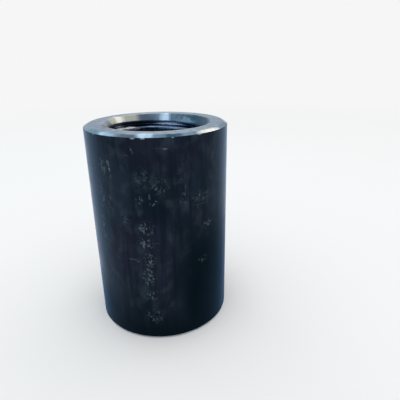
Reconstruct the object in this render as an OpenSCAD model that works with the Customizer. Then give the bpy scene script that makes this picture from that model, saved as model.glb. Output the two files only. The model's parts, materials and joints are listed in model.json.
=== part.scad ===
// Parallel-thread coupler for reinforcing bar.
// One steel sleeve, turned from thick tube, countersunk at both ends and tapped right through.
// Two bars with threaded ends screw in from either side and butt together in the middle.
// The sleeve stands on its lower end face: the origin is at the centre of that face and +Z is its axis.

/* [Sleeve] */
// Outside diameter of the tube
sleeve_d = 54; // [45:0.5:80]
// Length from end face to end face
sleeve_l = 80; // [40:1:120]
// Width of the turned bevel, measured across the end face
bevel_w = 1.5; // [0.5:0.1:3]
// Height of the turned bevel, measured along the side
bevel_h = 0.8; // [0.5:0.1:3]

/* [Thread] */
// Major diameter of the thread, at the bottom of its groove
thread_d = 38.5; // [24:0.5:46]
// Pitch of the thread, which is single-start and right-handed
thread_pitch = 3.5; // [2.5:0.5:4.5]
// How much wider the tapping bore is than the thread's basic minor diameter
minor_clearance = 0.5; // [0:0.1:0.8]

/* [Mouth] */
// How far each countersink opens past the thread's major radius
mouth_lip = 0.75; // [0.5:0.25:3]
// Full angle of each countersink
mouth_angle = 60; // [60:5:120]

/* [Hidden] */

// A 60 degree thread of sharp height H has flats of P / 8 at its root and P / 4 at its crest.
flank_tan = tan(30);
sharp_h = thread_pitch * sqrt(3) / 2;
root_flat = thread_pitch / 8;
basic_minor_d = thread_d - 2 * 5 / 8 * sharp_h;
bore_r = (basic_minor_d + minor_clearance) / 2;
root_r = thread_d / 2;

// Each countersink is a cone from the mouth down to the bore.
mouth_r = root_r + mouth_lip;
mouth_depth = (mouth_r - bore_r) / tan(mouth_angle / 2);

// The thread cutter starts inside the bore's open middle, so that it leaves no skin on the wall.
cutter_overlap = 0.15;
cutter_r = bore_r - cutter_overlap;
// Flat facets in one turn of the cutter, and in the round surfaces
turn_steps = 36;
round_steps = 144;
// The cutter runs out past each end face by this many turns.
spare_turns = 1;
// Where on a turn, counted from +X, the groove's centre crosses the lower end face
start_turn = 0.47;

// Half width of the groove, along the axis, at radius r
function groove_half(r) = root_flat / 2 + (root_r - r) * flank_tan;

// The cutter's four corners, as [radius, height], before they go round the helix
cutter_section = [
    [cutter_r, -groove_half(cutter_r)],
    [root_r, -root_flat / 2],
    [root_r, root_flat / 2],
    [cutter_r, groove_half(cutter_r)]
];

// The section after a number of steps along the helix
function helix_section(step) =
    let (
        turn = step / turn_steps,
        rise = thread_pitch * (turn - spare_turns + start_turn)
    )
    [for (c = cutter_section) [c[0] * cos(360 * turn), c[0] * sin(360 * turn), c[1] + rise]];

// One flat side of the cutter between two sections, as two triangles
function side_faces(step, k) =
    let (
        here = 4 * step + k,
        next = 4 * step + (k + 1) % 4,
        here_up = here + 4,
        next_up = next + 4
    )
    [[here, next_up, here_up], [here, next, next_up]];

// Solid that the tap removes: the 60 degree section carried up a helix
module thread_cutter() {
    turns = ceil(sleeve_l / thread_pitch) + 2 * spare_turns;
    last = turns * turn_steps;
    points = [for (step = [0 : last]) each helix_section(step)];
    sides = [for (step = [0 : last - 1], k = [0 : 3]) each side_faces(step, k)];
    start_cap = [[3, 2, 1, 0]];
    end_cap = [[4 * last, 4 * last + 1, 4 * last + 2, 4 * last + 3]];
    polyhedron(points = points, faces = concat(start_cap, end_cap, sides));
}

// Tube with its end faces, bevels, countersinks and tapping bore, as one turned profile
module turned_blank() {
    rotate_extrude($fn = round_steps)
        polygon([
            [bore_r, mouth_depth],
            [mouth_r, 0],
            [sleeve_d / 2 - bevel_w, 0],
            [sleeve_d / 2, bevel_h],
            [sleeve_d / 2, sleeve_l - bevel_h],
            [sleeve_d / 2 - bevel_w, sleeve_l],
            [mouth_r, sleeve_l],
            [bore_r, sleeve_l - mouth_depth]
        ]);
}

// The finished coupler: the turned blank after tapping
module sleeve() {
    color([0.10, 0.12, 0.16])
        difference() {
            turned_blank();
            thread_cutter();
        }
}

sleeve();
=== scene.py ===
# %% [markdown]
# # A threaded coupler for reinforcing bar
# The sleeve is one piece of thick steel tube. It was cut off, faced and bevelled at both ends,
# countersunk, and tapped from end to end so that two bars can meet inside it. Three finishes meet on it:
# the dark mill skin of the hot-rolled tube, bright turned steel where the lathe has cut, and an oily
# tapped thread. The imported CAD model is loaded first. It fixes every size and place, and nothing here is
# larger than it.

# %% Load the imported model
import json
import math

import bpy
import numpy as np
from mathutils import Matrix


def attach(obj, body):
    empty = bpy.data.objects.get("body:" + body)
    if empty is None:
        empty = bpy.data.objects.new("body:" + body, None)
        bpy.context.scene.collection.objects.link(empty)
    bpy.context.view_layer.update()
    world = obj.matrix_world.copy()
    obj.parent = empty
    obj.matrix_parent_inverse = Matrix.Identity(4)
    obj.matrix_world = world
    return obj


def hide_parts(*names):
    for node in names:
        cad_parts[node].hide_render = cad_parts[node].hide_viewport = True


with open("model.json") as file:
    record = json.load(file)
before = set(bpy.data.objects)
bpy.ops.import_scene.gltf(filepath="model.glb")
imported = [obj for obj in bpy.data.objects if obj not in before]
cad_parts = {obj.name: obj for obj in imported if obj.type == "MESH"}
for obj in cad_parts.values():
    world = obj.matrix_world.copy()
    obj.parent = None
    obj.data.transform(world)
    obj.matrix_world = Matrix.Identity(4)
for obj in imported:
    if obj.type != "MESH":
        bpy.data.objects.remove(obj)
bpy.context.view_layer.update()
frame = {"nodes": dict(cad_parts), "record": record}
SLEEVE = "sleeve"

# %% [markdown]
# ## Sizes, read from the model
# The end faces are the only vertices at full height. The largest circle there is where the bevel starts,
# and the smallest is the mouth of the countersink. The record holds the bore's radius. The thread's root
# is the widest point of the wall at mid height. All lengths below are in millimetres, because that is how
# a machinist reads them, and they are turned into metres once, when the mesh is made.

# %% Read the sleeve's sizes
MM = 0.001
# CAD lengths that differ by less than this, in millimetres, count as equal
SAME = 0.001
node_mesh = frame["nodes"][SLEEVE].data
flat = np.empty(3 * len(node_mesh.vertices))
node_mesh.vertices.foreach_get("co", flat)
cad_points = flat.reshape(-1, 3) / MM
cad_radius = np.hypot(cad_points[:, 0], cad_points[:, 1])
cad_height = cad_points[:, 2]

LENGTH = float(cad_height.max())
SKIN_R = float(cad_radius.max())
on_end_face = cad_height > LENGTH - SAME
FACE_R = float(cad_radius[on_end_face].max())
MOUTH_R = float(cad_radius[on_end_face].min())
BEVEL_W = SKIN_R - FACE_R
on_skin = cad_radius > SKIN_R - SAME
BEVEL_H = LENGTH - float(cad_height[on_skin].max())
mount_rows = {m["name"]: m for m in frame["record"]["mounts"]}
BORE_R = mount_rows["thread_top"]["dims"]["r_mm"]
# The root is looked for within this height of the middle, and well inside the skin
MIDDLE_BAND = 5
WELL_INSIDE = 0.8 * SKIN_R
in_middle = np.abs(cad_height - LENGTH / 2) < MIDDLE_BAND
ROOT_R = float(cad_radius[in_middle & (cad_radius < WELL_INSIDE)].max())
print("length", LENGTH, "skin", SKIN_R, "face", FACE_R, "mouth", MOUTH_R)
print("bevel", BEVEL_W, "x", BEVEL_H, "bore", BORE_R, "root", ROOT_R)

# %% [markdown]
# ## The camera
# It comes first, so that every later step can be looked at. It stands a hand's breadth in front of the
# sleeve and a little above the rim, and looks slightly down, which is how one looks into a small part on a
# table. Being so close makes the sleeve taper towards its foot.

# %% Place the camera
LENS, SENSOR_WIDTH = 32.784, 36.0
CAMERA_PLACE = (0.0, -0.14102, 0.10312)
# Degrees turned to the right, tilted down and rolled
CAMERA_TURN = (6.654, 21.653, -0.5995)
camera_data = bpy.data.cameras.new("bench_camera")
camera_data.lens = LENS
camera_data.sensor_width = SENSOR_WIDTH
camera_data.clip_start = 0.01
camera = bpy.data.objects.new("bench_camera", camera_data)
bpy.context.scene.collection.objects.link(camera)
yaw, down, roll = (math.radians(degrees) for degrees in CAMERA_TURN)
camera.matrix_world = (
    Matrix.Translation(CAMERA_PLACE)
    @ Matrix.Rotation(-yaw, 4, "Z")
    @ Matrix.Rotation(math.pi / 2 - down, 4, "X")
    @ Matrix.Rotation(roll, 4, "Z")
)
bpy.context.scene.camera = camera
print("camera at", [round(c, 4) for c in camera.location])

# %% [markdown]
# ## The surface as functions
# A boolean or a Screw modifier could cut a thread, but both give uneven faces that shade badly. Here every
# surface is a function of the angle round the axis and the height, worked out on whole numpy grids. Real
# edges are never perfectly sharp, so the functions are joined with an eased minimum and maximum.

# %% Eased minimum and maximum
def eased_min(a, b, width):
    """The smaller of a and b. Where they differ by less than width, a parabola rounds the corner:
    with h = 1 - |a - b| / width, it takes off h squared times a quarter of width."""
    nearness = np.clip(1 - np.abs(a - b) / width, 0, None)
    return np.minimum(a, b) - nearness**2 * width / 4


def eased_max(a, b, width):
    """The larger of a and b, rounded in the same way."""
    return -eased_min(-a, -b, width)


COLUMNS = 192
angles = np.linspace(0, 2 * np.pi, COLUMNS + 1)
print("one column is", round(2 * np.pi * SKIN_R / COLUMNS, 3), "mm wide on the skin")

# %% [markdown]
# ## The tapped thread
# A 60 degree thread is a flat-bottomed groove that climbs one pitch each turn. The distance along the axis
# from the nearest groove's centre says how far up the flank a point is.

# %% Radius of the threaded wall
PITCH = 3.5
GROOVE_START = 0.47 * PITCH
ROOT_FLAT = PITCH / 8
FLANK_TAN = math.tan(math.radians(30))
ROOT_EASE = 0.16
CREST_EASE = 0.35


def thread_radius(angle, height):
    """Fold the height above the climbing groove's centre into half a pitch. Less half the root flat, and
    over tan 30, it is how far the flank has come in from the root. The wall stops at the bore, and a worn
    tap leaves its crests well rounded."""
    climb = height - PITCH * angle / (2 * np.pi) - GROOVE_START
    from_groove = np.abs((climb + PITCH / 2) % PITCH - PITCH / 2)
    flank = ROOT_R - (from_groove - ROOT_FLAT / 2) / FLANK_TAN
    return eased_max(BORE_R, eased_min(ROOT_R, flank, ROOT_EASE), CREST_EASE)


turn = thread_radius(angles, LENGTH / 2)
print("threaded wall from", round(turn.min(), 3), "to", round(turn.max(), 3), "mm")

# %% [markdown]
# ## Cuts made on the lathe
# The bevel is cut with the tube running true, so it follows the outside. The countersinks were cut a
# little to one side of the tube's axis, so the flat ring is wider on one side of the rim. The offset
# changes no size of the outside.

# %% Radius of the countersink and of the bevel
MOUTH_TAN = math.tan(math.radians(30))
CONE_EASE = 0.08
# How far off the axis the countersinks are, and in which direction, in radians from +X
RUN_OUT = 0.4
RUN_OUT_ANGLES = {"top": 0.0, "bottom": 2.0}


def mouth_shift(angle, end):
    """How far a circle on the countersink's axis lies outside one on the tube's: the offset times the
    cosine of the angle from its direction."""
    return RUN_OUT * np.cos(angle - RUN_OUT_ANGLES[end])


def cone_radius(angle, depth, end):
    """The countersink narrows by tan 30 for each millimetre below the end face."""
    return MOUTH_R + mouth_shift(angle, end) - depth * MOUTH_TAN


def inner_radius(angle, height):
    """The larger of the threaded wall and the countersinks at both ends."""
    top = cone_radius(angle, LENGTH - height, "top")
    bottom = cone_radius(angle, height, "bottom")
    cones = np.maximum(top, bottom)
    return eased_max(thread_radius(angle, height), cones, CONE_EASE)


def bevel_radius(depth):
    """The bevel widens from the end face outwards, at its own constant slope."""
    return FACE_R + depth * BEVEL_W / BEVEL_H


print("mouth", round(2 * MOUTH_R, 2), "mm across,", RUN_OUT, "mm off the tube's axis")

# %% [markdown]
# ## The rolled skin
# Hot-rolled tube is never a perfect cylinder. A few slow waves round and along it, and some shallow dents
# from handling, stop its reflections from being ruler-straight. Everything only goes inwards from the true
# radius, so the sleeve never grows past the CAD model.

# %% Radius of the skin
SEED = 36
rng = np.random.default_rng(SEED)
# Waves in one turn, waves per millimetre of height, and half the depth in millimetres
WAVES = [(2, 0.004, 0.022), (3, 0.011, 0.012), (5, 0.021, 0.008), (9, 0.035, 0.004)]
wave_phases = rng.uniform(0, 2 * np.pi, len(WAVES))
# Angle from the front in degrees, height, half width, half height and depth of each dent
DENTS = [
    (-22, 66, 2.2, 3.5, 0.10),
    (12, 41, 3.0, 2.0, 0.08),
    (38, 55, 2.6, 1.4, 0.09),
    (-50, 30, 2.0, 4.0, 0.10),
    (140, 50, 3.0, 2.0, 0.12),
    (-130, 22, 2.2, 3.0, 0.10),
    (170, 63, 1.8, 2.6, 0.10),
]
# The front is -Y, as an angle from +X
FRONT = -np.pi / 2
BEVEL_EASE = 0.18


def skin_radius(angle, height):
    """The true radius less slow waves, each a cosine of a whole number of turns plus height, less a bell
    for each dent: its depth times e to the minus squared distance in half widths."""
    radius = np.full(np.broadcast(angle, height).shape, SKIN_R)
    for (lobes, along, size), phase in zip(WAVES, wave_phases):
        radius -= size * (1 + np.cos(lobes * angle + 2 * np.pi * along * height + phase))
    for azimuth, middle, half_w, half_h, depth in DENTS:
        off = (angle - FRONT - math.radians(azimuth) + np.pi) % (2 * np.pi) - np.pi
        radius -= depth * np.exp(-((off * SKIN_R / half_w) ** 2) - ((height - middle) / half_h) ** 2)
    return radius


def outer_radius(angle, height):
    """The smallest of the skin and both bevels, with an eased edge between them."""
    skin = skin_radius(angle, height)
    cut = eased_min(skin, bevel_radius(LENGTH - height), BEVEL_EASE)
    return eased_min(cut, bevel_radius(height), BEVEL_EASE)


sample = skin_radius(angles[None, :], np.linspace(0, LENGTH, 50)[:, None])
print("skin between", round(sample.min(), 3), "and", round(sample.max(), 3), "mm")

# %% [markdown]
# ## Grids
# A grid is two arrays of the same shape, the radius and the height of each point. Rows run along a surface
# and columns run round the axis. The last column repeats the first, and is welded to it later. The end of
# the sleeve is a row of profile points that goes from the countersink over an eased corner, across the
# flat face and over a second eased corner.

# %% The flat end face with its two eased corners
# How far an eased corner reaches to either side
EASE = 0.14
CONE_POINTS, RING_POINTS = 4, 7
# The depth down to which the countersink is clear of the thread all round, with a little to spare
CONE_START = 0.95 * (MOUTH_R - RUN_OUT - CONE_EASE - ROOT_R) / MOUTH_TAN


def corner(before, point, after, steps=4):
    """A curve that cuts the corner: the square of (1 - t) times the first point, plus 2 t (1 - t) times the
    corner, plus t squared times the last."""
    t = np.linspace(0, 1, steps + 1)[:, None]
    return (1 - t) ** 2 * np.array(before) + 2 * t * (1 - t) * np.array(point) + t**2 * np.array(after)


def end_face_profile():
    """Radius and depth of the points from the start of the cone to the start of the bevel."""
    cone_end = (MOUTH_R - EASE * MOUTH_TAN, EASE)
    bevel_step = EASE / math.hypot(BEVEL_W, BEVEL_H)
    bevel_start = (FACE_R + BEVEL_W * bevel_step, BEVEL_H * bevel_step)
    cone = np.array([(MOUTH_R - d * MOUTH_TAN, d) for d in np.linspace(CONE_START, EASE, CONE_POINTS)[:-1]])
    mouth = corner(cone_end, (MOUTH_R, 0), (MOUTH_R + EASE, 0))
    ring_radii = np.linspace(MOUTH_R + EASE, FACE_R - EASE, RING_POINTS)[1:-1]
    ring = np.array([(r, 0) for r in ring_radii])
    rim = corner((FACE_R - EASE, 0), (FACE_R, 0), bevel_start)
    return np.concatenate([cone, mouth, ring, rim])


face_profile = end_face_profile()
BEVEL_START = float(face_profile[-1, 1])


def face_grid(end):
    """Every profile point carried round. The mouth's offset counts in full on the countersink and fades
    across the flat face to nothing at the bevel."""
    share = np.clip((FACE_R - face_profile[:, :1]) / (FACE_R - MOUTH_R), 0, 1)
    radius = face_profile[:, :1] + share * mouth_shift(angles, end)[None, :]
    depth = np.repeat(face_profile[:, 1:], COLUMNS + 1, axis=1)
    height = LENGTH - depth if end == "top" else depth
    return radius, height


print("end face profile has", len(face_profile), "points")

# %% [markdown]
# The outside is one grid. Its rows crowd at the two bevel edges, where the curvature is, and follow those
# edges round, because the bevel reaches less far down where the skin dips inwards.

# %% The outside, from bevel to bevel
# Rows on the bevel as a share of its height, and below its edge in millimetres
BEVEL_STEPS = np.array([0, 0.3, 0.6, 0.82, 0.93, 1.0])
EDGE_STEPS = np.array([0.06, 0.14, 0.3, 0.6, 1.1])
SKIN_ROWS = 48


def edge_depth(end):
    """The depth at which the bevel meets the skin: the radius left to gain, over the bevel's slope."""
    near_end = LENGTH - BEVEL_H if end == "top" else BEVEL_H
    return (skin_radius(angles, near_end) - FACE_R) * BEVEL_H / BEVEL_W


def outside_grid():
    """Rows from the top bevel down to the bottom one, as radius and height."""
    top, bottom = edge_depth("top"), edge_depth("bottom")
    top_rows = BEVEL_START + BEVEL_STEPS[:, None] * (top - BEVEL_START)
    top_rows = LENGTH - np.concatenate([top_rows, top + EDGE_STEPS[:, None]])
    bottom_rows = BEVEL_START + BEVEL_STEPS[:, None] * (bottom - BEVEL_START)
    bottom_rows = np.concatenate([bottom_rows, bottom + EDGE_STEPS[:, None]])[::-1]
    t = np.linspace(0, 1, SKIN_ROWS)[1:-1, None]
    middle = (1 - t) * top_rows[-1] + t * bottom_rows[0]
    height = np.concatenate([top_rows, middle, bottom_rows])
    radius = outer_radius(angles[None, :], height)
    radius[[0, -1]] = face_profile[-1, 0]
    return radius, height


outside = outside_grid()
print("outside grid", outside[0].shape)

# %% [markdown]
# The threaded wall needs rows that climb with the thread, so that every crest and root has its own edge
# loop. Those rows would run off both ends, so they are clamped at a fixed height, and the squashed quads
# there are dropped after welding. Beyond that height, short level rows carry the wall through the
# countersink.

# %% The threaded wall
# The depth from which the bore is clear of the countersink all round, with a little to spare
WALL_START = 1.03 * (MOUTH_R + RUN_OUT + CONE_EASE - BORE_R) / MOUTH_TAN
LEVEL_ROWS = 40
SPARE_TURNS = 3
# How far from the groove's centre, along the axis, its flank reaches the bore and the crest starts
CREST = ROOT_FLAT / 2 + (ROOT_R - BORE_R) * FLANK_TAN
# Rows lie at these distances from the groove's centre, crowded where the wall curves
root_rows = [0.75 * ROOT_FLAT / 2, 1.5 * ROOT_FLAT / 2]
crest_rows = [0.55 * CREST, CREST - 0.22, CREST - 0.05, CREST + 0.14]
half_turn_rows = root_rows + crest_rows
row_offsets = np.sort(np.array([0.0, PITCH / 2] + half_turn_rows + [-h for h in half_turn_rows]))


def wall_grid():
    """Row offsets repeated every pitch, lifted by the climb, and clamped between the two level parts."""
    first = math.floor(WALL_START / PITCH) - SPARE_TURNS
    last = math.ceil(LENGTH / PITCH) + 1
    starts = np.arange(first, last)[:, None] * PITCH
    level = (starts + row_offsets[None, :]).ravel() + GROOVE_START
    height = level[:, None] + PITCH * angles[None, :] / (2 * np.pi)
    height = np.clip(height, WALL_START, LENGTH - WALL_START)
    return inner_radius(angles[None, :], height), height


def level_grid(end):
    """Level rows from the clamped wall out to where the countersink is clear of the thread."""
    depth = np.linspace(CONE_START, WALL_START, LEVEL_ROWS)[:, None] + 0 * angles[None, :]
    height = LENGTH - depth if end == "top" else depth
    return inner_radius(angles[None, :], height), height


wall = wall_grid()
print("threaded wall grid", wall[0].shape)

# %% [markdown]
# ## One closed mesh
# Each grid becomes triangles, wound so that they face out of the steel. The points of all grids are then
# welded by their rounded coordinates, triangles that have lost a corner are dropped, and the signed volume
# and the edge count show that the shell is closed and faces outwards. The rounding step isn't a round
# number, so that no size of the sleeve falls just between two steps.

# %% Triangles from grids
SKIN, TURNED, TAPPED = 0, 1, 2
# A triangle is skin if it is this far inside the bevel's slope and this deep below the end face
SKIN_MARGIN, SKIN_DEPTH = 0.02, 0.3
# How far outside the countersink or the bore a triangle of the threaded wall can lie
WALL_MARGIN = 2.2


def grid_triangles(radius, height, flip):
    """Corner positions of two triangles for each cell of the grid."""
    x = radius * np.cos(angles)[None, :]
    y = radius * np.sin(angles)[None, :]
    points = np.stack([x, y, height], axis=-1)
    a, b = points[:-1, :-1], points[:-1, 1:]
    c, d = points[1:, 1:], points[1:, :-1]
    first, second = (np.stack(s, axis=2) for s in ((a, b, c), (a, c, d)))
    triangles = np.concatenate([first.reshape(-1, 3, 3), second.reshape(-1, 3, 3)])
    return triangles[:, ::-1] if flip else triangles


def finish_of(triangles):
    """Which finish a triangle has: skin outside the bevel, tapped where the thread is deeper than the
    countersink, turned elsewhere."""
    middle = triangles.mean(axis=1)
    angle = np.arctan2(middle[:, 1], middle[:, 0])
    radius, height = np.hypot(middle[:, 0], middle[:, 1]), middle[:, 2]
    end_top = height > LENGTH / 2
    depth = np.where(end_top, LENGTH - height, height)
    shift = np.where(end_top, mouth_shift(angle, "top"), mouth_shift(angle, "bottom"))
    below_bevel = radius < bevel_radius(depth) - SKIN_MARGIN
    cone = MOUTH_R + shift - depth * MOUTH_TAN
    inside = radius < cone.clip(BORE_R) + WALL_MARGIN
    deeper = thread_radius(angle, height) > cone
    outside_faces = radius > 0.5 * (MOUTH_R + FACE_R)
    finish = np.full(len(triangles), TURNED)
    finish[outside_faces & below_bevel & (depth > SKIN_DEPTH)] = SKIN
    finish[~outside_faces & inside & deeper] = TAPPED
    return finish


face_top, face_bottom = face_grid("top"), face_grid("bottom")
shells = [
    grid_triangles(*outside, True),
    grid_triangles(*face_top, True),
    grid_triangles(*face_bottom, False),
    grid_triangles(*level_grid("top"), False),
    grid_triangles(*level_grid("bottom"), True),
    grid_triangles(*wall, True),
]
soup = np.concatenate(shells)
print("triangles before welding", len(soup))

# %% Weld, check and build the sleeve
# In millimetres
WELD_STEP = 1.7e-5
corners = np.round(soup.reshape(-1, 3) / WELD_STEP).astype(np.int64)
_, first_seen, welded = np.unique(corners, axis=0, return_index=True, return_inverse=True)
vertices = soup.reshape(-1, 3)[first_seen] * MM
faces = welded.reshape(-1, 3)
whole = (faces[:, 0] != faces[:, 1]) & (faces[:, 1] != faces[:, 2]) & (faces[:, 2] != faces[:, 0])
faces = faces[whole]
finishes = finish_of(soup[whole])
a, b, c = (vertices[faces[:, k]] for k in range(3))
volume = np.einsum("ij,ij->", a, np.cross(b, c)) / 6
edges = np.concatenate([faces[:, [0, 1]], faces[:, [1, 2]], faces[:, [2, 0]]])
_, uses = np.unique(np.sort(edges, axis=1), axis=0, return_counts=True)
_, directed = np.unique(edges, axis=0, return_counts=True)
print("triangles", len(faces), "volume in cm3", round(volume * 1e6, 2))
print("edges not shared by two faces", int((uses != 2).sum()), "wound wrongly", int((directed != 1).sum()))

mesh = bpy.data.meshes.new("sleeve_body")
mesh.from_pydata(vertices.tolist(), [], faces.tolist())
mesh.polygons.foreach_set("material_index", finishes.astype(np.int32))
mesh.polygons.foreach_set("use_smooth", np.ones(len(faces), bool))
mesh.update()
sleeve = bpy.data.objects.new("sleeve_body", mesh)
bpy.context.scene.collection.objects.link(sleeve)
for finish, name in ((SKIN, "skin"), (TURNED, "turned"), (TAPPED, "tapped")):
    print(name, int((finishes == finish).sum()), "faces")

# %% [markdown]
# ## Writing node trees
# A material is a small program. These helpers keep each step on one line: one adds a node and fills its
# inputs, the others wrap the nodes that are used over and over.

# %% Helpers for node trees
HALF_TURN = 180
PATCH_CORE = 0.3


def add(tree, kind, settings=(), **inputs):
    """A new shader node. Inputs are given by name, or as i0, i1 for a numbered one. Each is a value or a
    link."""
    node = tree.nodes.new("ShaderNode" + kind)
    for name, value in dict(settings).items():
        setattr(node, name, value)
    for key, value in inputs.items():
        numbered = key[0] == "i" and key[1:].isdigit()
        socket = node.inputs[int(key[1:]) if numbered else key.replace("_", " ")]
        if isinstance(value, bpy.types.NodeSocket):
            tree.links.new(value, socket)
        else:
            socket.default_value = value
    return node


def calc(tree, operation, a, b=0.0):
    """One step of arithmetic on numbers."""
    return add(tree, "Math", {"operation": operation}, i0=a, i1=b).outputs[0]


def fade(tree, value, low, high, start=0.0, end=1.0):
    """Goes smoothly from start to end as value goes from low to high."""
    settings = {"interpolation_type": "SMOOTHSTEP"}
    return add(tree, "MapRange", settings, i0=value, i1=low, i2=high, i3=start, i4=end).outputs[0]


def blend(tree, amount, first, second):
    """A colour between two colours."""
    return add(tree, "Mix", {"data_type": "RGBA"}, i0=amount, i6=first, i7=second).outputs[2]


def noise(tree, vector, scale, detail=2.0, stretch=(1, 1, 1), place=(0, 0, 0)):
    """Soft random noise. Scale is features per millimetre, and stretch makes it finer along an axis."""
    mapped = add(tree, "Mapping", (), Vector=vector, Location=place, Scale=stretch).outputs[0]
    return add(tree, "TexNoise", (), Vector=mapped, Scale=scale, Detail=detail).outputs[0]


def colour(r, g, b):
    """A colour without transparency."""
    return (r, g, b, 1.0)


def new_material(name):
    """An empty material and its surface shader."""
    material = bpy.data.materials.new(name)
    material.use_nodes = True
    tree = material.node_tree
    tree.nodes.clear()
    shader = tree.nodes.new("ShaderNodeBsdfPrincipled")
    output = tree.nodes.new("ShaderNodeOutputMaterial")
    tree.links.new(shader.outputs[0], output.inputs[0])
    return material, tree, shader


def millimetres(tree):
    """The point being shaded, in millimetres in the object's own frame."""
    place = add(tree, "TexCoord").outputs["Object"]
    return add(tree, "VectorMath", {"operation": "SCALE"}, i0=place, Scale=1 / MM).outputs[0]


def around_and_up(tree, point):
    """The skin unrolled: degrees round from the front, towards +X, and millimetres up."""
    parts = add(tree, "SeparateXYZ", (), Vector=point).outputs
    azimuth = calc(tree, "ARCTAN2", parts[0], calc(tree, "MULTIPLY", parts[1], -1.0))
    return calc(tree, "MULTIPLY", azimuth, HALF_TURN / math.pi), parts[2]


def from_axis(tree, point):
    """The point without its height, and its distance from the axis."""
    parts = add(tree, "SeparateXYZ", (), Vector=point).outputs
    level = add(tree, "CombineXYZ", (), X=parts[0], Y=parts[1]).outputs[0]
    return level, add(tree, "VectorMath", {"operation": "LENGTH"}, i0=level).outputs["Value"]


def raise_surface(tree, shader, relief):
    """Bump from a height in millimetres."""
    bump = add(tree, "Bump", (), Strength=1.0, Distance=MM, Height=relief)
    tree.links.new(bump.outputs[0], shader.inputs["Normal"])


def mark(tree, unrolled, azimuth, height, half_w, half_h, tilt=0.0, soft=1.0):
    """An oval patch on the unrolled skin: 0 at its edge, rising to 1 over a share of it called soft."""
    centred = add(tree, "VectorMath", {"operation": "SUBTRACT"}, i0=unrolled).outputs[0]
    centred.node.inputs[1].default_value = (math.radians(azimuth) * SKIN_R, height, 0)
    turned = add(tree, "Mapping", (), Vector=centred, Rotation=(0, 0, math.radians(tilt))).outputs[0]
    scaled = add(tree, "VectorMath", {"operation": "DIVIDE"}, i0=turned, i1=(half_w, half_h, 1)).outputs[0]
    away = add(tree, "VectorMath", {"operation": "LENGTH"}, i0=scaled).outputs["Value"]
    return fade(tree, away, 1.0, 1.0 - soft)


def painted_patch(tree, polar, azimuth, radius, half_angle, half_w):
    """The same on a ring or a wall, for painted highlights, reflections and shade: the vector holds degrees
    round the axis, which wrap at 180, and a radius or a height. The patch is at full strength over the
    share of its size called PATCH_CORE."""
    apart = add(tree, "VectorMath", {"operation": "SUBTRACT"}, i0=polar).outputs[0]
    apart.node.inputs[1].default_value = (azimuth, radius, 0)
    near = add(tree, "VectorMath", {"operation": "WRAP"}, i0=apart).outputs[0]
    near.node.inputs[1].default_value = (HALF_TURN, HALF_TURN, HALF_TURN)
    near.node.inputs[2].default_value = (-HALF_TURN, -HALF_TURN, -HALF_TURN)
    size = (half_angle, half_w, 1)
    scaled = add(tree, "VectorMath", {"operation": "DIVIDE"}, i0=near, i1=size).outputs[0]
    away = add(tree, "VectorMath", {"operation": "LENGTH"}, i0=scaled).outputs["Value"]
    return fade(tree, away, 1.0, PATCH_CORE)


def off_middle(tree, value):
    """How far a noise is from its middle value. It is zero along thin crinkled lines."""
    return calc(tree, "ABSOLUTE", calc(tree, "SUBTRACT", value, 0.5))


def brightest(tree, patches):
    """The largest of several patches at each point."""
    result = patches[0]
    for patch in patches[1:]:
        result = calc(tree, "MAXIMUM", result, patch)
    return result


def strongest_mark(tree, unrolled, rows):
    """The largest at each point of the marks in a table whose rows end with a strength."""
    patches = [calc(tree, "MULTIPLY", mark(tree, unrolled, *row), strength) for *row, strength in rows]
    return brightest(tree, patches)


print("node helpers ready")

# %% [markdown]
# ## The mill skin
# Hot-rolled tube comes with a hard blue-black oxide skin, which is oiled against rust. It isn't metal to
# the eye but a dark coat with little gloss. Where one looks straight at it, it stays nearly black. Towards
# its sides, as seen from anywhere, a sheen with a blue tint lifts it into a haze, and three places with a
# painted blue sheen add to it. Slow noise gives it lighter, darker and faintly violet clouds, noise
# stretched along the tube gives the lengthwise streaks of rolling, and fine noise the grain. The foot and a
# few places above it are darker: partly oil, partly painted shade near the floor, and low on the right a
# painted shadow.

# %% Mill skin: colours
SKIN_COLOURS = {
    "dark": colour(0.0052, 0.0104, 0.0180),
    "cloud": colour(0.0112, 0.0188, 0.0315),
    "violet": colour(0.0120, 0.0120, 0.0225),
    "mottle": colour(0.023, 0.034, 0.048),
    "streak": colour(0.0042, 0.0072, 0.0115),
    # A painted blue sheen for the sides
    "painted_sheen": colour(0.012, 0.036, 0.066),
    # Oil, and painted shade at the foot and low on the right
    "oil_and_shade": colour(0.0006, 0.0030, 0.0045),
    "crack": colour(0.0015, 0.0025, 0.0040),
    "scuff": colour(0.065, 0.095, 0.115),
    "scratch": colour(0.115, 0.155, 0.18),
    "steel": colour(0.34, 0.42, 0.48),
}
print(len(SKIN_COLOURS), "colours on the skin")

# %% Mill skin: clouds, streaks and grain
skin, tree, shader = new_material("mill_skin")
point = millimetres(tree)
azimuth, height = around_and_up(tree, point)
around = calc(tree, "MULTIPLY", azimuth, math.radians(1) * SKIN_R)
unrolled = add(tree, "CombineXYZ", (), X=around, Y=height).outputs[0]

clouds = noise(tree, point, 0.075, 4.0, (1, 1, 0.55))
mottle = noise(tree, point, 0.28, 6.0, (1, 1, 0.7), (7, 3, 1))
streaks = noise(tree, point, 0.4, 3.0, (1, 1, 0.06), (3, 8, 2))
grain = noise(tree, point, 2.2, 3.0)
tint = noise(tree, point, 0.06, 2.0, (1, 1, 0.6), (4, 2, 9))

base = blend(tree, fade(tree, clouds, 0.4, 0.6), SKIN_COLOURS["dark"], SKIN_COLOURS["cloud"])
base = blend(tree, fade(tree, tint, 0.42, 0.6, 0.0, 0.6), base, SKIN_COLOURS["violet"])
base = blend(tree, fade(tree, mottle, 0.46, 0.74, 0.0, 0.8), base, SKIN_COLOURS["mottle"])
base = blend(tree, fade(tree, streaks, 0.48, 0.68, 0.0, 0.7), base, SKIN_COLOURS["streak"])
print("skin clouds and streaks")
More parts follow.
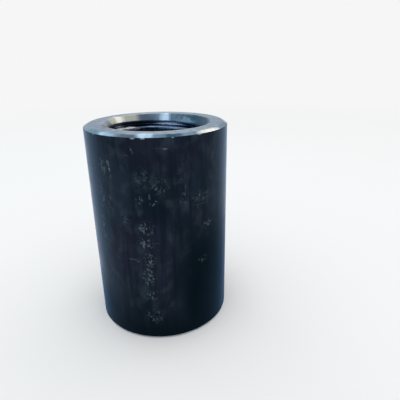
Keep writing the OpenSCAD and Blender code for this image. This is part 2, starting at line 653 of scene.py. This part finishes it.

# %% Mill skin: painted sheen, oil and painted shade
# Degrees from the front, height, half width, half height and strength of each place with a painted blue
# sheen
PAINTED_SHEEN_PLACES = [
    (-64.0, 60.0, 13.0, 62.0, 1.0),
    (70.0, 76.0, 12.0, 42.0, 1.0),
    (-130.0, 50.0, 16.0, 50.0, 0.5),
]
for azimuth_deg, middle, half_w, half_h, strength in PAINTED_SHEEN_PLACES:
    patch = mark(tree, unrolled, azimuth_deg, middle, half_w, half_h)
    base = blend(tree, calc(tree, "MULTIPLY", patch, strength), base, SKIN_COLOURS["painted_sheen"])
print(len(PAINTED_SHEEN_PLACES), "places with a blue bloom")

# The same for each darker place. They stand for oil, except the first, low on the right, which is a painted
# shadow
OIL_AND_SHADE = [
    (40.0, 16.0, 22.0, 48.0, 1.0),
    (-54.0, 0.0, 20.0, 30.0, 0.75),
    (140.0, 10.0, 18.0, 26.0, 0.6),
]
# How high the darkening at the foot reaches, in millimetres, how strong it is there, and how soft the other
# places are. At the foot it is partly oil and partly painted shade near the floor
FOOT_HEIGHT, FOOT_STRENGTH, OIL_AND_SHADE_SOFT = 26.0, 0.9, 0.7
oil_and_shade_mask = fade(tree, height, 0.0, FOOT_HEIGHT, FOOT_STRENGTH, 0.0)
for azimuth_deg, middle, half_w, half_h, strength in OIL_AND_SHADE:
    patch = mark(tree, unrolled, azimuth_deg, middle, half_w, half_h, 0.0, OIL_AND_SHADE_SOFT)
    oil_and_shade_mask = calc(tree, "MAXIMUM", oil_and_shade_mask, calc(tree, "MULTIPLY", patch, strength))
base = blend(tree, oil_and_shade_mask, base, SKIN_COLOURS["oil_and_shade"])
print(len(OIL_AND_SHADE), "oily places")

# %% [markdown]
# Handling has rubbed the skin in places. Each is an oval on the unrolled skin. Inside it, the places where
# a noise passes its middle value make thin crinkled lines, as on scuffed paint, and fine noise breaks them
# into flecks. Where that fine noise passes its own middle value, dark cracks run between them.

# %% Mill skin: rubbed places
# Degrees from the front, height, half width, half height, tilt and strength
RUBS = [
    (-38.5, 69.0, 1.0, 6.0, -6, 1.0),
    (-44.0, 69.0, 3.2, 5.5, 0, 0.75),
    (-50.0, 58.0, 4.0, 9.0, 0, 0.7),
    (-40.0, 56.0, 3.0, 9.0, 0, 0.45),
    (-12.0, 47.5, 5.0, 4.5, 0, 0.8),
    (-13.0, 41.5, 5.0, 4.5, 0, 0.75),
    (-10.5, 35.0, 3.4, 5.0, 0, 1.0),
    (-12.0, 28.0, 4.6, 6.5, 0, 0.95),
    (-11.0, 20.0, 5.0, 4.0, 0, 0.6),
    (-9.0, 10.5, 6.0, 6.0, 0, 0.6),
    (-7.5, 59.5, 0.8, 2.2, 10, 1.0),
    (-3.0, 57.6, 1.2, 0.8, 0, 1.0),
    (-6.0, 56.6, 1.8, 0.9, 0, 1.0),
    (-15.5, 58.0, 3.0, 2.4, -30, 0.8),
    (-12.0, 66.0, 6.5, 6.0, 0, 0.45),
    (0.0, 63.0, 5.5, 6.5, 0, 0.5),
    (17.0, 60.0, 3.0, 12.0, 0, 0.4),
    (31.0, 57.0, 6.5, 5.0, 0, 0.5),
    (38.0, 46.0, 5.0, 3.0, 0, 0.65),
    (33.0, 32.0, 4.0, 2.5, 0, 0.5),
    (-52.0, 44.0, 3.0, 14.0, 0, 0.6),
    (-28.0, 50.0, 3.4, 7.0, 0, 0.45),
    (120.0, 52.0, 6.0, 8.0, 0, 0.4),
    (160.0, 30.0, 7.0, 9.0, 0, 0.4),
    (-120.0, 62.0, 5.0, 7.0, 0, 0.45),
    (-150.0, 22.0, 6.0, 8.0, 0, 0.4),
    (95.0, 48.0, 5.0, 8.0, 0, 0.4),
]
rubbed = strongest_mark(tree, unrolled, RUBS)
crinkle = noise(tree, point, 0.42, 6.0, (1, 1, 0.8), (2, 5, 0))
flecks = noise(tree, point, 1.3, 4.0, (1, 1, 0.7), (6, 1, 4))
lace = fade(tree, off_middle(tree, crinkle), 0.028, 0.002, 0.0, 0.85)
lace = calc(tree, "MULTIPLY", lace, fade(tree, flecks, 0.36, 0.56))
specks = fade(tree, calc(tree, "ADD", flecks, calc(tree, "MULTIPLY", rubbed, 0.15)), 0.6, 0.74)
broken = calc(tree, "MAXIMUM", lace, specks)
scuffed = calc(tree, "MULTIPLY", broken, fade(tree, rubbed, 0.0, 0.7))
cracks = fade(tree, off_middle(tree, flecks), 0.045, 0.01)
cracked = calc(tree, "MULTIPLY", cracks, fade(tree, rubbed, 0.2, 0.9, 0.0, 0.7))
base = blend(tree, cracked, base, SKIN_COLOURS["crack"])
worn = blend(tree, scuffed, base, SKIN_COLOURS["scuff"])
print(len(RUBS), "rubbed places")

# %% [markdown]
# Thin scratches cross the skin at odd angles. They are the same ovals, only very long and narrow. Small
# chips along the bevel's edge show bright steel.

# %% Mill skin: scratches and chips
# Degrees from the front, height, half length, half width, tilt and strength
SCRATCHES = [
    (-24.0, 35.0, 3.2, 0.22, 0, 0.8),
    (-20.0, 34.4, 1.6, 0.15, 8, 0.8),
    (-9.5, 41.8, 4.6, 0.18, -2, 0.9),
    (-8.0, 40.6, 2.6, 0.14, 3, 0.6),
    (-37.5, 68.5, 6.0, 0.3, 84, 0.9),
    (-18.5, 75.4, 2.0, 0.3, 64, 0.9),
    (-22.0, 73.4, 1.0, 0.35, 35, 0.9),
    (4.5, 75.6, 1.4, 0.5, 4, 0.7),
    (1.5, 75.8, 3.4, 0.16, 2, 0.4),
    (35.0, 58.2, 5.0, 0.2, -6, 0.35),
    (32.0, 54.6, 5.0, 0.2, 4, 0.3),
    (39.0, 46.4, 2.2, 0.2, -10, 0.8),
    (18.5, 60.0, 8.0, 0.3, 88, 0.25),
    (150.0, 44.0, 6.0, 0.18, 20, 0.7),
    (-160.0, 57.0, 5.0, 0.16, 75, 0.7),
]
scratched = calc(tree, "MULTIPLY", strongest_mark(tree, unrolled, SCRATCHES), fade(tree, flecks, 0.35, 0.6))
worn = blend(tree, scratched, worn, SKIN_COLOURS["scratch"])

# Degrees from the front, depth below the end face, half length and half height
CHIPS = [
    (-17.0, 0.95, 1.3, 0.4),
    (-10.0, 0.95, 1.4, 0.4),
    (10.5, 0.9, 0.8, 0.25),
    (-52.0, 0.9, 1.0, 0.25),
    (31.0, 0.9, 1.4, 0.2),
    (140.0, 0.9, 1.8, 0.3),
]
chips = [mark(tree, unrolled, turn_deg, LENGTH - depth, *half) for turn_deg, depth, *half in CHIPS]
chipped = fade(tree, brightest(tree, chips), 0.15, 0.6, 0.0, 0.6)
worn = blend(tree, chipped, worn, SKIN_COLOURS["steel"])
tree.links.new(worn, shader.inputs["Base Color"])
tree.links.new(chipped, shader.inputs["Metallic"])
print(len(SCRATCHES), "scratches and", len(CHIPS), "chips")

# %% Mill skin: shine and relief
SKIN_SHINE = {
    "Specular IOR Level": 0.035,
    "Specular Tint": colour(0.35, 0.65, 1.0),
    "Sheen Weight": 0.38,
    "Sheen Roughness": 0.35,
    "Sheen Tint": colour(0.24, 0.52, 0.95),
}
for socket, value in SKIN_SHINE.items():
    shader.inputs[socket].default_value = value
dull = calc(tree, "ADD", fade(tree, mottle, 0.3, 0.7, 0.2, 0.3), calc(tree, "MULTIPLY", scuffed, 0.2))
dull = calc(tree, "ADD", dull, calc(tree, "MULTIPLY", oil_and_shade_mask, 0.6))
tree.links.new(dull, shader.inputs["Roughness"])
relief = calc(tree, "ADD", calc(tree, "MULTIPLY", mottle, 0.035), calc(tree, "MULTIPLY", grain, 0.008))
relief = calc(tree, "SUBTRACT", relief, calc(tree, "MULTIPLY", scuffed, 0.03))
relief = calc(tree, "SUBTRACT", relief, calc(tree, "MULTIPLY", scratched, 0.05))
raise_surface(tree, shader, relief)
print("mill skin has", len(tree.nodes), "nodes")

# %% [markdown]
# ## Turned steel
# The end faces, bevels and countersinks are bare steel, fresh from the lathe. The tool leaves fine rings,
# and rings stretch every highlight across themselves, which gives a turned face its fan of light.
# Anisotropy does that, with a tangent that runs round the axis, and darker and lighter radial streaks
# in the colour add a painted fan of highlights. The steel is blue on the whole. Straw, lilac, brown, dark
# and bright places on it are painted reflections and highlights of the lamps and the room, and painted
# shade. Each place is an oval in degrees round the axis and millimetres of radius, which run on from the
# countersink over the ring to the bevel. Where the countersink meets the bore, a dark band is painted: a
# painted reflection of the dark bore, blue on one side.

# %% Turned steel: colours of the painted reflections and highlights
# Darker and lighter steel, blended in radial streaks: a painted fan of highlights and shade
STEEL_FAN_SHADE, STEEL_FAN_HIGHLIGHT = colour(0.115, 0.20, 0.31), colour(0.185, 0.28, 0.375)
SMUDGED = colour(0.10, 0.15, 0.21)
# Colours of the painted reflections, highlights and shade
REFLECTION_COLOURS = {
    "ink": colour(0.030, 0.085, 0.135),
    "black": colour(0.006, 0.012, 0.020),
    "night": colour(0.012, 0.055, 0.130),
    "slate": colour(0.080, 0.115, 0.160),
    "brown": colour(0.055, 0.045, 0.050),
    "lilac": colour(0.33, 0.32, 0.40),
    "straw": colour(0.50, 0.49, 0.38),
    "bright": colour(0.90, 0.90, 0.84),
    "ice": colour(0.50, 0.70, 0.90),
}
# Painted reflections, highlights and shade: degrees from the front, radius, half angle, half width, colour
# and strength, on the upper end
PAINTED_REFLECTIONS = [
    (120.0, 18.8, 56.0, 3.0, "ink", 1.0),
    (138.0, 18.8, 22.0, 1.0, "ice", 0.25),
    (-166.0, 18.8, 22.0, 2.4, "slate", 1.0),
    (-146.0, 19.3, 16.0, 2.6, "straw", 0.65),
    (-122.0, 19.4, 21.0, 2.4, "straw", 0.9),
    (-130.0, 19.6, 9.0, 3.6, "bright", 0.75),
    (168.0, 19.0, 9.0, 3.0, "ice", 0.9),
    (-93.0, 19.7, 15.0, 1.9, "lilac", 0.85),
    (-98.0, 17.9, 26.0, 1.6, "brown", 1.0),
    (-69.0, 19.9, 12.0, 1.2, "brown", 0.9),
    (100.0, 18.0, 26.0, 1.7, "night", 0.8),
    (105.0, 19.7, 15.0, 1.6, "ink", 1.0),
    (-30.0, 23.8, 8.0, 2.4, "slate", 0.4),
    (10.0, 23.4, 8.0, 2.6, "slate", 0.5),
    (-60.0, 20.8, 8.0, 1.2, "slate", 0.9),
    (-40.0, 26.3, 12.0, 1.6, "ice", 0.4),
    (-58.0, 26.4, 13.0, 1.8, "ink", 0.65),
    (-22.0, 26.5, 10.0, 1.5, "slate", 0.9),
    (-10.0, 25.2, 9.0, 3.0, "ice", 1.0),
    (11.0, 26.4, 9.0, 1.6, "ink", 1.0),
    (43.0, 26.4, 16.0, 1.7, "bright", 0.9),
    (70.0, 26.2, 14.0, 1.6, "slate", 0.6),
    (92.0, 26.4, 14.0, 1.4, "bright", 0.6),
]
# The lower end has the same painted places, this many degrees further round
TURN_BELOW = 150.0
# Degrees and millimetres by which noise makes the painted places' outlines ragged
RAGGED_ANGLE, RAGGED_RADIUS = 3.0, 0.4
# The painted dark reflection of the bore at the countersink's foot is full at the first radius and gone at
# the second, give or take the third
BORE_SHADE_FULL, BORE_SHADE_END, RAGGED_BORE_SHADE = BORE_R + 0.8, BORE_R + 1.05, 0.04
# Degrees from the front, radius, half angle and half width of the side where that painted reflection is
# blue
BORE_SHADE_BLUE = (152.0, BORE_R, 44.0, 6.0)
print(len(PAINTED_REFLECTIONS), "places with a film")

# %% Turned steel
turned, tree, shader = new_material("turned_steel")
point = millimetres(tree)
azimuth, height = around_and_up(tree, point)
level_point, radius = from_axis(tree, point)
outward = add(tree, "VectorMath", {"operation": "NORMALIZE"}, i0=level_point).outputs[0]
ring_place = add(tree, "CombineXYZ", (), X=radius, Y=height).outputs[0]
rings = noise(tree, ring_place, 5.0, 4.0)
fan = noise(tree, outward, 9.0, 4.0)
smudge = noise(tree, point, 0.5, 4.0, (1, 1, 1), (4, 9, 2))

azimuth = calc(tree, "ADD", azimuth, fade(tree, height, LENGTH / 3, 2 * LENGTH / 3, TURN_BELOW, 0.0))
azimuth = calc(tree, "ADD", azimuth, fade(tree, fan, 0.2, 0.8, -RAGGED_ANGLE, RAGGED_ANGLE))
ragged = calc(tree, "ADD", radius, fade(tree, smudge, 0.3, 0.7, -RAGGED_RADIUS, RAGGED_RADIUS))
polar = add(tree, "CombineXYZ", (), X=azimuth, Y=ragged).outputs[0]
# Radial streaks of darker and lighter steel: a painted fan of highlights
steel = blend(tree, fade(tree, fan, 0.35, 0.65), STEEL_FAN_SHADE, STEEL_FAN_HIGHLIGHT)
steel = blend(tree, fade(tree, smudge, 0.5, 0.75, 0.0, 0.4), steel, SMUDGED)
# These places are painted reflections, highlights and shade
for azimuth_deg, middle, half_angle, half_w, name, strength in PAINTED_REFLECTIONS:
    patch = painted_patch(tree, polar, azimuth_deg, middle, half_angle, half_w)
    steel = blend(tree, calc(tree, "MULTIPLY", patch, strength), steel, REFLECTION_COLOURS[name])
# A dark band painted where the countersink meets the bore: a painted reflection of the dark bore
edge = calc(tree, "ADD", radius, fade(tree, smudge, 0.3, 0.7, -RAGGED_BORE_SHADE, RAGGED_BORE_SHADE))
bore_shade = blend(tree, painted_patch(tree, polar, *BORE_SHADE_BLUE), REFLECTION_COLOURS["black"], REFLECTION_COLOURS["night"])
steel = blend(tree, fade(tree, edge, BORE_SHADE_END, BORE_SHADE_FULL), steel, bore_shade)
tree.links.new(steel, shader.inputs["Base Color"])
shader.inputs["Metallic"].default_value = 1.0
shader.inputs["Anisotropic"].default_value = 0.6
tree.links.new(fade(tree, smudge, 0.3, 0.7, 0.26, 0.38), shader.inputs["Roughness"])
tangent = add(tree, "Tangent", {"direction_type": "RADIAL", "axis": "Z"}).outputs[0]
tree.links.new(tangent, shader.inputs["Tangent"])
raise_surface(tree, shader, calc(tree, "MULTIPLY", rings, 0.012))
print("turned steel has", len(tree.nodes), "nodes")

# %% [markdown]
# ## The tapped thread
# A tap tears the steel slightly, and cutting oil stays in the grooves, so the flanks are the darkest and
# wettest looking metal of the three. The crests were bored before tapping and are brighter. Near the upper
# mouth a blue reflection is painted on one side of the wall, and painted highlights lie on the first turns
# inside both mouths.

# %% Tapped steel
WALL_DARK, WALL_LIGHT = colour(0.014, 0.032, 0.060), colour(0.035, 0.065, 0.115)
# The blue is a painted reflection on one side of the wall
WALL_BLUE_REFLECTION, CREST_BRIGHT = colour(0.026, 0.085, 0.190), colour(0.16, 0.21, 0.29)
# Degrees from the front, height, half angle and half height of the painted blue reflection on one side
BLUE_REFLECTION_SIDE = (158.0, 72.0, 46.0, 14.0)
# Degrees from the front, height, half angle, half height and colour of each painted glint
PAINTED_GLINTS = [
    (162.0, 75.85, 26.0, 0.95, (0.66, 0.80, 1.0)),
    (-126.0, 75.8, 12.0, 1.0, (0.66, 0.66, 0.70)),
    (-140.0, 75.1, 13.0, 0.9, (0.66, 0.66, 0.70)),
    (-151.0, 74.5, 10.0, 0.7, (0.50, 0.50, 0.56)),
    (160.0, 74.0, 22.0, 0.7, (0.35, 0.55, 0.80)),
    (-150.0, 4.6, 20.0, 0.9, (0.75, 0.88, 1.0)),
]
tapped, tree, shader = new_material("tapped_steel")
point = millimetres(tree)
azimuth, height = around_and_up(tree, point)
_, radius = from_axis(tree, point)
wet = noise(tree, point, 0.3, 4.0)
tear = noise(tree, point, 1.6, 4.0, (1, 1, 3))
steel = blend(tree, fade(tree, wet, 0.35, 0.7), WALL_DARK, WALL_LIGHT)
along = add(tree, "CombineXYZ", (), X=azimuth, Y=height).outputs[0]
# Painted blue reflection on one side near the upper mouth
steel = blend(tree, painted_patch(tree, along, *BLUE_REFLECTION_SIDE), steel, WALL_BLUE_REFLECTION)
crest = fade(tree, radius, BORE_R + 0.45, BORE_R + 0.1)
crest = calc(tree, "MULTIPLY", crest, fade(tree, wet, 0.35, 0.6, 0.35, 1.0))
steel = blend(tree, crest, steel, CREST_BRIGHT)
patches = []
# Painted glints on the first turns inside both mouths
for azimuth_deg, middle, half_angle, half_h, tone in PAINTED_GLINTS:
    patches.append(painted_patch(tree, along, azimuth_deg, middle, half_angle, half_h))
    steel = blend(tree, patches[-1], steel, colour(*tone))
painted_glint_mask = brightest(tree, patches)
tree.links.new(steel, shader.inputs["Base Color"])
shader.inputs["Metallic"].default_value = 1.0
dull = calc(tree, "ADD", fade(tree, wet, 0.3, 0.7, 0.2, 0.34), calc(tree, "MULTIPLY", painted_glint_mask, 0.25))
tree.links.new(dull, shader.inputs["Roughness"])
raise_surface(tree, shader, calc(tree, "MULTIPLY", tear, 0.007))
print("tapped steel has", len(tree.nodes), "nodes")

# %% [markdown]
# ## Hand the finishes and the place to the model
# The new piece stands for the CAD sleeve, and moves with the only body there is.

# %% Dress the sleeve
for material in (skin, turned, tapped):
    mesh.materials.append(material)
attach(sleeve, "root")
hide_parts(SLEEVE)
print("sleeve has", len(mesh.materials), "finishes")

# %% [markdown]
# ## Floor and room
# The floor is a pale matt disc. From a quarter of a metre out it fades away slowly into a room of the same
# tone, so that no horizon shows, and the sleeve's own soft shadow stays on it. The room has the floor's
# tone for what is seen directly or in a reflection, and its own strength for the light that it gives.

# %% Pale floor
# The floor's radius, and where its fade starts and ends, in metres
FLOOR_R = 0.85
FADE_START, FADE_END = 0.25, 0.95 * FLOOR_R
FLOOR_SIDES = 96
FLOOR_TONE = colour(0.92, 0.92, 0.92)
bpy.ops.mesh.primitive_circle_add(vertices=FLOOR_SIDES, radius=FLOOR_R, fill_type="NGON")
floor = bpy.context.active_object
floor.name = "pale_floor"
floor_material = bpy.data.materials.new("pale_floor")
floor_material.use_nodes = True
tree = floor_material.node_tree
tree.nodes.clear()
away = add(tree, "VectorMath", {"operation": "LENGTH"}, i0=add(tree, "TexCoord").outputs["Object"])
matt = add(tree, "BsdfDiffuse", (), Color=FLOOR_TONE).outputs[0]
clear = add(tree, "BsdfTransparent").outputs[0]
gone = fade(tree, away.outputs["Value"], FADE_START, FADE_END)
both = add(tree, "MixShader", (), i0=gone, i1=matt, i2=clear).outputs[0]
tree.links.new(both, add(tree, "OutputMaterial").inputs[0])
floor.data.materials.append(floor_material)
print("floor", 2 * FLOOR_R, "m across")

# %% The room
ROOM_TONE = 0.9216
ROOM_LIGHT = 0.85
world = bpy.data.worlds.new("studio_room")
bpy.context.scene.world = world
world.use_nodes = True
tree = world.node_tree
tree.nodes.clear()
ray = add(tree, "LightPath").outputs
seen = calc(tree, "MAXIMUM", ray["Is Camera Ray"], ray["Is Glossy Ray"])
seen = calc(tree, "MAXIMUM", seen, ray["Is Transmission Ray"])
strength = fade(tree, seen, 0.0, 1.0, ROOM_LIGHT, ROOM_TONE)
background = add(tree, "Background", (), Color=colour(1, 1, 1), Strength=strength).outputs[0]
tree.links.new(background, add(tree, "OutputWorld").inputs[0])
print("room tone", ROOM_TONE, "and light", ROOM_LIGHT)

# %% [markdown]
# ## Lamps
# Three soft boxes, set by direction and by how bright their face looks. One overhead lights the front of
# the bevel and the back of the countersink, a dim and slightly warm one stands behind on the right, and a
# cool one behind on the left. A lamp's power is its brightness times its area times pi.

# %% Soft boxes
# Name, degrees from the front, elevation, distance, width, height, brightness and tint
SOFT_BOXES = [
    ("overhead_box", 0, 84, 0.7, 0.34, 0.34, 2.8, (0.88, 0.95, 1.0)),
    ("warm_box", 127, 37, 0.8, 0.40, 0.16, 1.0, (1.0, 0.97, 0.92)),
    ("cool_box", -145, 32, 0.8, 0.34, 0.16, 1.6, (0.55, 0.9, 1.0)),
]
# All three point just below the upper mouth.
LAMP_AIM = np.array([0.0, 0.0, 0.075])
for name, azimuth_deg, elevation, distance, width, tall, brightness, tone in SOFT_BOXES:
    turn_angle = math.radians(azimuth_deg)
    rise = math.radians(elevation)
    direction = np.array([
        math.sin(turn_angle) * math.cos(rise),
        -math.cos(turn_angle) * math.cos(rise),
        math.sin(rise),
    ])
    lamp = bpy.data.lights.new(name, "AREA")
    lamp.shape = "RECTANGLE"
    lamp.size = width
    lamp.size_y = tall
    lamp.color = tone
    lamp.energy = brightness * width * tall * math.pi
    stand = bpy.data.objects.new(name, lamp)
    bpy.context.scene.collection.objects.link(stand)
    stand.matrix_world = (
        Matrix.Translation(LAMP_AIM + distance * direction)
        @ Matrix.Rotation(turn_angle, 4, "Z")
        @ Matrix.Rotation(math.pi / 2 - rise, 4, "X")
    )
    stand.visible_camera = False
    print(name, "power", round(lamp.energy, 3), "W")

# %% [markdown]
# ## Colour
# The Standard view shows each colour as written.

# %% Finish
bpy.context.scene.view_settings.view_transform = "Standard"
